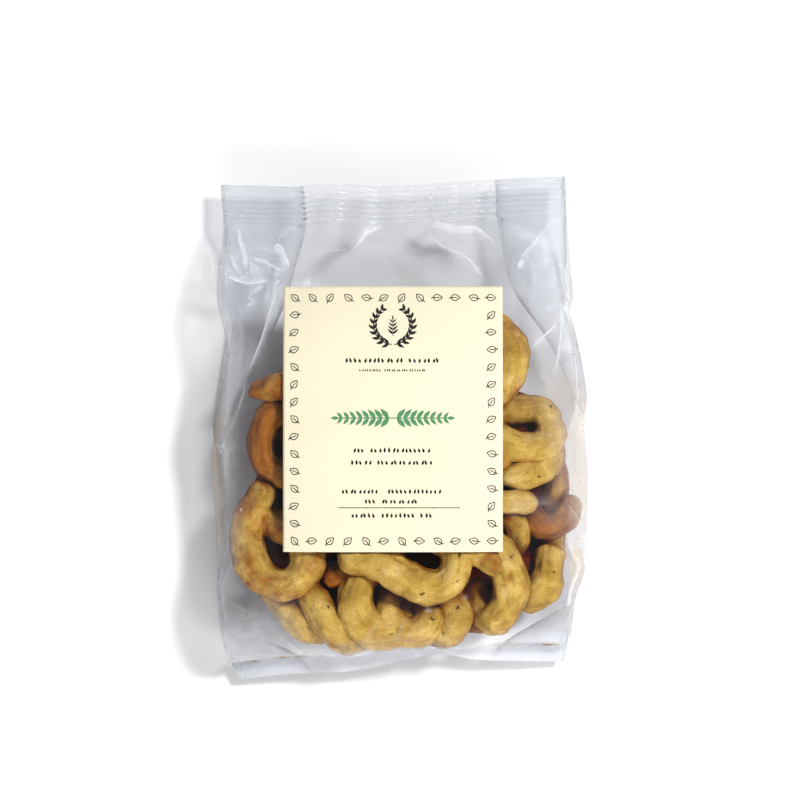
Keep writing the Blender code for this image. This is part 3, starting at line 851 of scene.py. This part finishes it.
under_label = label_share(front_x, front_y)
label_wave = 0.3 * ripples(front_x, front_y, 50.0, 6, 7)
pull = 1.0 / REACH_CELLS**2
sag = np.zeros_like(front_z)
for _ in range(RELAX_STEPS):
    around = np.zeros_like(sag)
    around[1:-1, 1:-1] = (sag[:-2, 1:-1] + sag[2:, 1:-1] + sag[1:-1, :-2] + sag[1:-1, 2:]) / 4.0
    eased = (around - pull * SLACK * full[:, None]) / (1.0 + pull)
    sag = np.maximum(mix(eased, label_wave, under_label), np.maximum(lowest, LOWEST_SAG))
    sag[:, [0, -1]] = 0.0
    sag[~body, :] = 0.0
front_z = front_z + sag

# Folds, gathers behind the two ends, and a faint unevenness everywhere but under the label, with the white of
# each fold, partly stress whitening and partly painted highlight
gather_top = smooth_step(0.55, 0.98, along)[:, None] * body[:, None]
gather_bottom = smooth_step(0.88, 0.99, -along)[:, None] * body[:, None]
gathers = 0.35 * ripples(front_x, 0.10 * front_y, 8.0, 8, 3) * (gather_top + gather_bottom)
crinkle = 0.30 * ripples(front_x, front_y, 11.0, 14, 5) * (0.25 + gather_top)
loose = (1.0 - under_label) * np.minimum(1.0, 3.0 * (1.0 - to_edge**6)) * body[:, None]
folds = np.zeros_like(front_z)
white = np.zeros_like(front_z)
dice = random.Random(5)
small_folds = []
for x_range, y_range, count in SMALL_FOLDS:
    for _ in range(count):
        start = Vector((dice.uniform(*x_range), dice.uniform(*y_range)))
        way = Vector((dice.gauss(0.0, 0.7), dice.choice((-1.0, 1.0)))).normalized() * dice.uniform(3.0, 9.0)
        bend = Vector((-way.y, way.x)) * dice.uniform(-0.25, 0.25)
        small_folds.append(
            ((start - way, start + bend, start + way), dice.uniform(0.05, 0.4), dice.uniform(0.4, 1.1),
             dice.uniform(0.0, 0.16))
        )
for path, rise, width, whiteness in (*CREASES, *PAINTED_SHEENS, *small_folds):
    gap, side, on_line = fold_line(front_x, front_y, path)
    folds += rise * on_line * np.exp(-((gap / width) ** 1.5))
    fade = np.where(side < 0.0, 0.5, 0.4 + 1.2 * width)
    white = np.maximum(white, 0.75 * whiteness * on_line * np.exp(-((gap / fade) ** 1.3)))
front_z = front_z + (folds + gathers + crinkle) * loose

# Painted warm light from the dough, carried in the colour of the film's haze
painted_warm = np.zeros_like(front_z)
clouds = 0.92 + 0.12 * ripples(front_x, front_y, 5.0, 10, 9)
for (x, y), (wide, long), share_of_white, painted_warmth in MILKY_AND_PAINTED_LIGHT:
    patch = np.exp(-(((front_x - x) / wide) ** 2) - ((front_y - y) / long) ** 2)
    painted_warm = np.maximum(painted_warm, painted_warmth * patch)
    white = np.maximum(white, share_of_white * patch * clouds)
creased = 0.04 + 0.55 * gather_top + 0.5 * gather_bottom + 0.12 * (~body)[:, None] + 0.0 * front_x
creased = np.maximum(np.clip(creased, 0.0, 1.0), 0.8 * smooth_step(0.84, 0.98, to_edge))
white = np.clip(white, 0.0, 1.0) * (1.0 - under_label) + 0.05 * creased
# Painted shade: the film is made a little greyer behind the label's upper edge
painted_shade_past_label = 0.3 * np.exp(-((front_x / 42.0) ** 2) - ((front_y - 66.0) / 9.0) ** 2)
# Painted glints on the crests of the seal's ribs, strong at the listed places
crest = (0.5 + 0.5 * np.sin(2.0 * np.pi * RIB_COUNT * share)) ** 2
uneven = 0.6 + 0.4 * ripples(front_x, front_y, 2.0, 9, 21)
for place, wide, strength in PAINTED_RIB_GLINTS:
    painted_glint = 0.85 * strength * np.exp(-(((front_x - place) / wide) ** 4)) * uneven
    white = white + np.maximum(0.0, painted_glint) * (in_seal * crest)[:, None]
# The weld and the band just above it are milky: partly the weld's own white, partly painted light
white = white + 0.50 * in_weld[:, None] + 0.26 * smooth_step(0.965, 1.0, -along)[:, None] * body[:, None]
# The seal's own faint milkiness, with a little painted glint on every rib crest
white = white + (in_seal * (0.03 + 0.10 * crest))[:, None]
white = np.minimum(white, 0.95)

# Pleats: how deep each side folds in between the two panels, and where it bulges out instead
mid_y = row_y(np.zeros_like(share))
PLEAT_AT_WELD = 31.0
PLEAT_LEFT = ((-10.0, 0.0), (28.0, 16.0), (58.0, 29.0), (88.0, 35.0))
PLEAT_RIGHT = ((-10.0, 0.0), (28.0, 12.0), (58.0, 25.0), (88.0, 29.5))


def side_points(edge, outward, pleat_top, front_at, back_at, front_edge_z, back_edge_z):
    """Columns of points down one side, from the front panel's edge to the back panel's."""
    pleat_bottom = PLEAT_AT_WELD * smooth_step(-70.0, -97.0, mid_y)
    pleat = np.where(mid_y > -30.0, curve_through(pleat_top, mid_y), pleat_bottom)
    folded = smooth_step(0.0, 7.0, pleat)
    points = []
    for k in range(1, SIDE_STEPS + 1):
        part = k / (SIDE_STEPS + 1)
        folded_x = edge - outward * pleat * (1.0 - abs(2.0 * part - 1.0))
        high, low = both_films(folded_x)
        folded_z = mix(np.minimum(high, front_edge_z), np.maximum(low, back_edge_z), part)
        straight_x = mix(front_at, back_at, part)
        bulge = np.sin(np.pi * part) ** 0.6
        open_x = mix(straight_x, edge, bulge) + outward * 0.3 * np.sin(np.pi * part)
        open_z = mix(front_edge_z, back_edge_z, part)
        side_x, side_z = mix(open_x, folded_x, folded), mix(open_z, folded_z, folded)
        points.append(np.stack((side_x, row_y(folded_x), side_z), 1))
    return points


back_points = []
for c in np.arange(BACK_COLUMNS + 1) / BACK_COLUMNS:
    x = mix(*back_ends, c)
    lift = 2.0 * full * abs(2.0 * c - 1.0) ** 10
    back_points.append(np.stack((x, row_y(x), both_films(x)[1] + lift), 1))
front_points = [np.stack((front_x[:, k], front_y[:, k], front_z[:, k]), 1) for k in range(len(columns))]
right_side = side_points(
    right, 1.0, PLEAT_RIGHT, front_ends[1], back_ends[1], front_points[-1][:, 2], back_points[-1][:, 2],
)
left_side = side_points(
    left, -1.0, PLEAT_LEFT, front_ends[0], back_ends[0], front_points[0][:, 2], back_points[0][:, 2],
)
ring = np.stack(front_points + right_side + back_points[::-1] + left_side[::-1], axis=1)
row_count, ring_count = ring.shape[:2]

# What the film is like at every corner: how milky it is, that white partly painted highlight and light; how
# finely crinkled; how much painted warm light from the dough colours its haze; and how much grey light it
# takes up where several layers of it are gathered, partly painted shade
FILM_MARKS = ("whitened_with_painted_light", "crinkled", "painted_warmed", "gathered_and_painted_shade")
on_side = np.zeros(ring_count)
on_side[len(columns) : len(columns) + SIDE_STEPS] = 1.0
on_side[-SIDE_STEPS:] = 1.0
whites_with_painted_light = 0.04 + 0.24 * on_side * (1.0 - smooth_step(25.0, 55.0, mid_y))[:, None]
whites_with_painted_light[:, : len(columns)] = white
# Painted warm light from the dough on the middle of the side walls
painted_warms = 0.6 * on_side * (smooth_step(-60.0, -30.0, mid_y) - smooth_step(0.0, 20.0, mid_y))[:, None]
painted_warms[:, : len(columns)] = painted_warm
# Only the left wall, on the shaded side, is fully gathered: partly its layers, partly painted shade
on_side[: -SIDE_STEPS] *= 0.1
gathered_and_painted_shade = on_side * (1.0 - smooth_step(0.0, 60.0, mid_y))[:, None]
gathered_and_painted_shade[:, : len(columns)] = painted_shade_past_label
crinkled = np.full((row_count, ring_count), 0.2)
crinkled[:, : len(columns)] = creased


ring_faces = [
    (r * ring_count + k, r * ring_count + (k + 1) % ring_count,
     (r + 1) * ring_count + (k + 1) % ring_count, (r + 1) * ring_count + k)
    for r in range(row_count - 1) for k in range(ring_count)
]
mesh = bpy.data.meshes.new("clear_film")
mesh.from_pydata((ring.reshape(-1, 3) * MM).tolist(), [], ring_faces)
for mark, values in zip(FILM_MARKS, (whites_with_painted_light, crinkled, painted_warms, gathered_and_painted_shade)):
    mesh.attributes.new(mark, "FLOAT", "POINT").data.foreach_set("value", values.ravel())
mesh.shade_smooth()


def clear_film():
    """Clear cast polypropylene: hard to see face on, a mirror at a glance, milky at sharp folds; painted
    light and shade.
    """
    material, add = new_material("clear_cast_polypropylene_film")
    place = add("TexCoord")["Object"]
    whitened_with_painted_light, crinkled, painted_warmed, gathered_and_painted_shade = (
        add("Attribute", attribute_name=name)["Fac"] for name in FILM_MARKS
    )
    stretched = add("Mapping", {"Vector": place, "Scale": (1.0, 0.35, 1.0)})["Vector"]
    wrinkles, smear = (
        add(
            "TexNoise", {"Vector": vector, "Scale": across(size), "Detail": detail, "Roughness": 0.55},
        )["Fac"]
        for vector, size, detail in ((stretched, 3.5, 3.0), (place, 20.0, 4.0))
    )
    relief = add("Bump", {"Height": wrinkles, "Strength": crinkled, "Distance": 1.6 * MM})["Normal"]
    facing = add("LayerWeight", {"Blend": 0.5, "Normal": relief})["Facing"]
    glance = add("Math", {0: facing, 1: 4.0}, operation="POWER")[0]
    mirror = add("MapRange", {"Value": glance, "To Min": 0.045, "To Max": 0.60})["Result"]
    dull = add(
        "MapRange",
        {"Value": crinkled, "From Min": 0.0, "From Max": 0.5, "To Min": 0.26, "To Max": 0.10},
    )["Result"]
    # Where gathered the film passes less light and looks grey, including painted shade on the left wall and
    # past the label
    thick = [0.56, 0.56, 0.58, 1.0]
    tint = add("Mix", {0: gathered_and_painted_shade, 6: [0.965, 0.972, 0.982, 1.0], 7: thick}, data_type="RGBA")[2]
    through = add("BsdfTransparent", {"Color": tint})["BSDF"]
    white = (1.0, 1.0, 1.0, 1.0)
    shine = add("BsdfGlossy", {"Roughness": dull, "Normal": relief, "Color": white})["BSDF"]
    clear = add("MixShader", {0: mirror, 1: through, 2: shine})["Shader"]
    smeared = add("Math", {0: smear, 1: 0.5}, operation="ADD")[0]
    milk = add("Math", {0: whitened_with_painted_light, 1: smeared}, operation="MULTIPLY")[0]
    # The haze is tinted with painted warm light from the dough
    tone = add("Mix", {0: painted_warmed, 6: linear("#F2F4FA"), 7: linear("#EFD2A2")}, data_type="RGBA")[2]
    haze = add("BsdfPrincipled", {"Normal": relief, "Base Color": tone, "Roughness": 0.35})["BSDF"]
    film = add("MixShader", {0: milk, 1: clear, 2: haze})["Shader"]
    add("OutputMaterial", {"Surface": film})
    return material


mesh.materials.append(clear_film())
film = add_piece("clear_film", mesh, "bag")


# The sharp folds of the film
# Where the film is creased hard it is doubled into a fine ridge, white and glossy, which runs out to a point
# at both ends. Its white is partly the film's own stress whitening and partly a painted highlight.
RIDGE_STEPS = 30
RIDGE_HEIGHT = 0.20
film_tree = BVHTree.FromPolygons([Vector(point) for point in ring.reshape(-1, 3).tolist()], ring_faces)


def on_film(x, y, lift):
    """The point in metres that is lift millimetres above the film at x and y."""
    hit = film_tree.ray_cast(Vector((x, y, 200.0)), Vector((0.0, 0.0, -1.0)))[0]
    return (x * MM, y * MM, (hit.z + lift) * MM)


def crease_white_and_highlight():
    """Polypropylene made milky by a hard crease, its white partly a painted highlight, with a glossy back."""
    material, add = new_material("crease_whitened_polypropylene_and_painted_highlight")
    place = add("TexCoord")["Object"]
    uneven_white, uneven = (
        add("TexNoise", {"Vector": place, "Scale": across(size), "Detail": 3.0, "Roughness": 0.55})["Fac"]
        for size in (1.5, 4.0)
    )
    white_and_highlight_tone = add("ValToRGB", {"Fac": uneven_white}, ((0.35, "#E2E6EE"), (0.6, "#FFFFFF")))["Color"]
    milky = add("BsdfPrincipled", {"Base Color": white_and_highlight_tone, "Roughness": 0.3})["BSDF"]
    clear = add("BsdfTransparent", {"Color": (0.955, 0.962, 0.975, 1.0)})["BSDF"]
    milk = add(
        "MapRange",
        {"Value": uneven, "From Min": 0.35, "From Max": 0.65, "To Min": 0.55, "To Max": 0.95},
    )["Result"]
    ridge = add("MixShader", {0: milk, 1: clear, 2: milky})["Shader"]
    add("OutputMaterial", {"Surface": ridge})
    return material


corners, faces = [], []
for path, rise, width, whiteness in CREASES:
    line = spline_at([Vector(point) for point in path], RIDGE_STEPS)
    for k, place in enumerate(line):
        taper = np.sin(np.pi * (k + 0.3) / (RIDGE_STEPS - 0.4)) ** 0.8
        way = (line[min(k + 1, RIDGE_STEPS - 1)] - line[max(k - 1, 0)]).normalized()
        half = (0.06 + 0.16 * width) * whiteness * taper
        for side, lift in ((-1.0, 0.02), (0.0, RIDGE_HEIGHT * taper), (1.0, 0.02)):
            corners.append(on_film(place.x + side * half * way.y, place.y - side * half * way.x, lift))
        if k:
            last = len(corners)
            faces.append((last - 6, last - 5, last - 2, last - 3))
            faces.append((last - 5, last - 4, last - 1, last - 2))
mesh = bpy.data.meshes.new("fold_ridges")
mesh.from_pydata(corners, [], faces)
mesh.shade_smooth()
mesh.materials.append(crease_white_and_highlight())
add_piece("fold_ridges", mesh, "bag")


# The paper label
# A cream coated sheet about 90 by 109 mm, glued flat to the front film, so that it bends only in long
# easy curves.
LABEL_LIFT = 0.12
PAPER_THICKNESS = 0.12


def coated_paper():
    """Smooth coated paper: an even cream with a trace of fibre and a soft sheen."""
    # Its fibre is finer than 0.1 mm, and is drawn 0.6 mm wide so that it shows
    material, add = new_material("cream_coated_paper")
    place = add("TexCoord")["Object"]
    fibre = add("TexNoise", {"Vector": place, "Scale": across(0.6), "Detail": 3.0, "Roughness": 0.55})["Fac"]
    tone = add("ValToRGB", {"Fac": fibre}, ((0.3, "#F0E6C8"), (0.7, "#F5EBCE")))["Color"]
    tooth = add("Bump", {"Height": fibre, "Strength": 0.15, "Distance": 0.05 * MM})["Normal"]
    surface = add("BsdfPrincipled", {"Base Color": tone, "Normal": tooth, "Roughness": 0.6})["BSDF"]
    add("OutputMaterial", {"Surface": surface})
    return material


sheet = bmesh.new()
bmesh.ops.create_grid(sheet, x_segments=90, y_segments=109, size=0.5)
for vert in sheet.verts:
    x = LABEL_MIDDLE[0] + vert.co.x * LABEL_WIDTH
    y = LABEL_MIDDLE[1] + vert.co.y * LABEL_LENGTH
    vert.co = on_film(x, y, LABEL_LIFT)
mesh = bpy.data.meshes.new("paper_label")
sheet.to_mesh(mesh)
sheet.free()
mesh.shade_smooth()
mesh.materials.append(coated_paper())
paper = add_piece("paper_label", mesh, "label")
thick = paper.modifiers.new("thickness", "SOLIDIFY")
thick.thickness = PAPER_THICKNESS * MM
thick.offset = 1.0


# The print on the label
# Offset ink in black and one green, of a generic design: a border of outlined leaves, a wreath at the top,
# a green branch across the middle, and rows of small grains over and under a thin line.
INK_LIFT = LABEL_LIFT + PAPER_THICKNESS + 0.03
BORDER_INSET = 4.6
BORDER_STEP = 7.1
BORDER_LEAF_LENGTH = 3.9
BORDER_LEAF_WIDTH = 2.6
LEAF_STEPS = 7
THIN_LINE = 0.19


def printing_ink(name, colour, thin):
    """Offset ink: dense, nearly matt, with the paper's tooth just showing through."""
    # The tooth is drawn 0.5 mm wide, coarser than it is, so that it shows
    material, add = new_material(name)
    place = add("TexCoord")["Object"]
    tooth = add("TexNoise", {"Vector": place, "Scale": across(0.5), "Detail": 3.0, "Roughness": 0.55})["Fac"]
    tone = add("ValToRGB", {"Fac": tooth}, ((0.35, colour), (0.75, thin)))["Color"]
    surface = add("BsdfPrincipled", {"Base Color": tone, "Roughness": 0.5})["BSDF"]
    add("OutputMaterial", {"Surface": surface})
    return material


def toward(angle, length):
    return Vector((np.cos(np.radians(angle)), np.sin(np.radians(angle)))) * length


def ribbon(shapes, path, halves):
    """Adds a flat shape to the print: a path across the label with a half width at each of its points."""
    corners, faces = shapes
    for k, (place, half) in enumerate(zip(path, halves)):
        before, after = Vector(path[max(k - 1, 0)]), Vector(path[min(k + 1, len(path) - 1)])
        way = (after - before).normalized() * max(half, 0.02)
        for side in (-1.0, 1.0):
            x = LABEL_MIDDLE[0] + place[0] + side * way.y
            y = LABEL_MIDDLE[1] + place[1] - side * way.x
            corners.append(on_film(x, y, INK_LIFT))
        if k:
            last = len(corners)
            faces.append((last - 4, last - 3, last - 1, last - 2))


def leaf(shapes, base, angle, length, width):
    """A pointed leaf from its base at an angle in degrees."""
    parts = [k / LEAF_STEPS for k in range(LEAF_STEPS + 1)]
    ribbon(shapes, [Vector(base) + toward(angle, length * part) for part in parts],
           [0.5 * width * np.sin(np.pi * part**0.8) for part in parts])


def drawn_leaf(shapes, middle, angle, length, width):
    """A leaf drawn as a thin outline, with a rib down its middle and a short stem."""
    start = Vector(middle) - toward(angle, 0.5 * length)
    parts = [k / 10 for k in range(11)]
    for side in (-90.0, 90.0):
        edge = [
            start + toward(angle, length * p) + toward(angle + side, 0.5 * width * np.sin(np.pi * p**0.8))
            for p in parts
        ]
        ribbon(shapes, edge, [THIN_LINE] * len(edge))
    rib = [start - toward(angle + 20.0, 0.9), start, Vector(middle) + toward(angle, 0.2 * length)]
    ribbon(shapes, rib, [THIN_LINE] * 3)


def sprig(shapes, foot, angle, length, pairs, leaf_length, leaf_width, open_angle):
    """A stem with pairs of leaves that get smaller towards its tip."""
    stem = [Vector(foot) + toward(angle, length * k / 12) for k in range(13)]
    ribbon(shapes, stem, [0.045 * leaf_length] * 13)
    for k in range(pairs):
        part = (k + 0.6) / (pairs + 0.4)
        small = 1.0 - 0.45 * part
        for side in (-1.0, 1.0):
            leaf(shapes, Vector(foot) + toward(angle, length * part), angle + side * open_angle,
                 leaf_length * small, leaf_width * small)
    leaf(shapes, Vector(foot) + toward(angle, 0.97 * length), angle, 0.6 * leaf_length, 0.7 * leaf_width)


black, green = ([], []), ([], [])
dice = random.Random(12)
half_x = LABEL_WIDTH / 2 - BORDER_INSET
half_y = LABEL_LENGTH / 2 - BORDER_INSET
for start, end in (((-half_x, half_y), (half_x, half_y)), ((half_x, half_y), (half_x, -half_y)),
                   ((half_x, -half_y), (-half_x, -half_y)), ((-half_x, -half_y), (-half_x, half_y))):
    start, end = Vector(start), Vector(end)
    count = round((end - start).length / BORDER_STEP)
    for k in range(count):
        heading = dice.choice((25.0, 155.0)) + dice.uniform(-30.0, 30.0)
        drawn_leaf(black, start.lerp(end, k / count), heading, BORDER_LEAF_LENGTH, BORDER_LEAF_WIDTH)

# The wreath: two branches that climb from the bottom of a circle and leave it open at the top
WREATH_MIDDLE = Vector((0.0, 38.6))
WREATH_RADIUS = 8.0
for side in (-1.0, 1.0):
    arc = [WREATH_MIDDLE + toward(-90.0 + side * (4.0 + 8.2 * k), WREATH_RADIUS) for k in range(18)]
    ribbon(black, arc, [0.22] * len(arc))
    for k in range(1, 18, 2):
        heading = -90.0 + side * (4.0 + 8.2 * k) + side * 90.0
        for lean in (-38.0, 38.0):
            leaf(black, arc[k], heading + lean, 3.4 - 0.05 * k, 1.25)
sprig(black, WREATH_MIDDLE - Vector((0.0, 4.6)), 90.0, 7.0, 4, 3.2, 1.0, 48.0)
for side in (0.0, 180.0):
    sprig(green, (0.0, 0.4), side, 23.0, 8, 5.4, 2.1, 48.0)

# Rows of grains: middle, place up the label, length, height and the shares at which a row is broken
GRAIN_ROWS = (
    (0.0, 24.2, 39.8, 2.4, (0.62,)), (-0.2, 20.1, 27.4, 1.3, (0.36,)), (-0.2, -12.7, 33.2, 2.3, (0.2,)),
    (0.0, -17.7, 35.2, 2.3, (0.28,)), (0.0, -29.6, 42.6, 2.2, (0.4,)), (-0.2, -33.7, 23.4, 2.2, (0.28,)),
    (-0.4, -39.4, 34.4, 2.3, (0.33, 0.8)),
)
for middle, up, length, height, breaks in GRAIN_ROWS:
    grain_step = 0.78 * height
    for k in range(int(length / grain_step)):
        part = (k + 0.5) * grain_step / length
        if min(abs(part - stop) for stop in breaks) * length > 0.6 * grain_step:
            tall = height * dice.uniform(0.75, 1.0)
            lean = dice.choice((90.0, 72.0, 108.0))
            place = Vector((middle + length * (part - 0.5), up - 0.5 * height))
            leaf(black, place, lean, tall, 0.42 * height)
ribbon(black, [(-22.6 + 1.67 * k, -36.4) for k in range(31)], [0.16] * 31)
for name, shapes, ink in (
    ("black_print", black, printing_ink("black_offset_ink", "#1D1B18", "#2B2926")),
    ("green_print", green, printing_ink("green_offset_ink", "#528C60", "#609A6E")),
):
    mesh = bpy.data.meshes.new(name)
    mesh.from_pydata(shapes[0], [], shapes[1])
    mesh.materials.append(ink)
    add_piece(name, mesh)


# The crumbs
# Flakes of baked dough that broke off in the bag. The finest were caught in the weld along the bottom, and
# a few lie loose in the lower left corner.
CRUMB_BANDS = (
    ("weld_left", (-70.0, -38.0), 90), ("weld_right", (38.0, 67.2), 70),
    ("weld_right_end", (57.0, 67.2), 60), ("corner", (-68.0, -59.0), 26),
)


def make_crumbs():
    """All crumbs as one mesh: small uneven lumps of dough, pressed flat where the two films hold them."""
    dice = random.Random(77)
    crumbs = bmesh.new()
    for band, (start, end), count in CRUMB_BANDS:
        for _ in range(count):
            x = mix(start, end, dice.random())
            radius = 0.16 + 0.5 * dice.random() ** 4
            if band == "corner":
                place = (x, dice.uniform(-87.0, -76.0), 0.6 + radius)
                flat = 0.8
                radius *= 1.5
            else:
                place = (x, float(weld_line(x)) - 0.2 + dice.gauss(0.0, 0.35), float(weld_height(x)) + 0.05)
                flat = min(1.0, 0.24 / radius)
            sphere = bmesh.ops.create_icosphere(crumbs, subdivisions=1, radius=1.0)
            for vert in sphere["verts"]:
                vert.co *= dice.uniform(0.6, 1.15)
                vert.co = Vector((vert.co.x * radius * 1.3, vert.co.y * radius, vert.co.z * radius * flat))
                vert.co = (vert.co + Vector(place)) * MM
    mesh = bpy.data.meshes.new("crumbs")
    crumbs.to_mesh(mesh)
    crumbs.free()
    return mesh


mesh = make_crumbs()
mesh.shade_smooth()
mesh.materials.append(dough)
add_piece("crumbs", mesh, "bag")
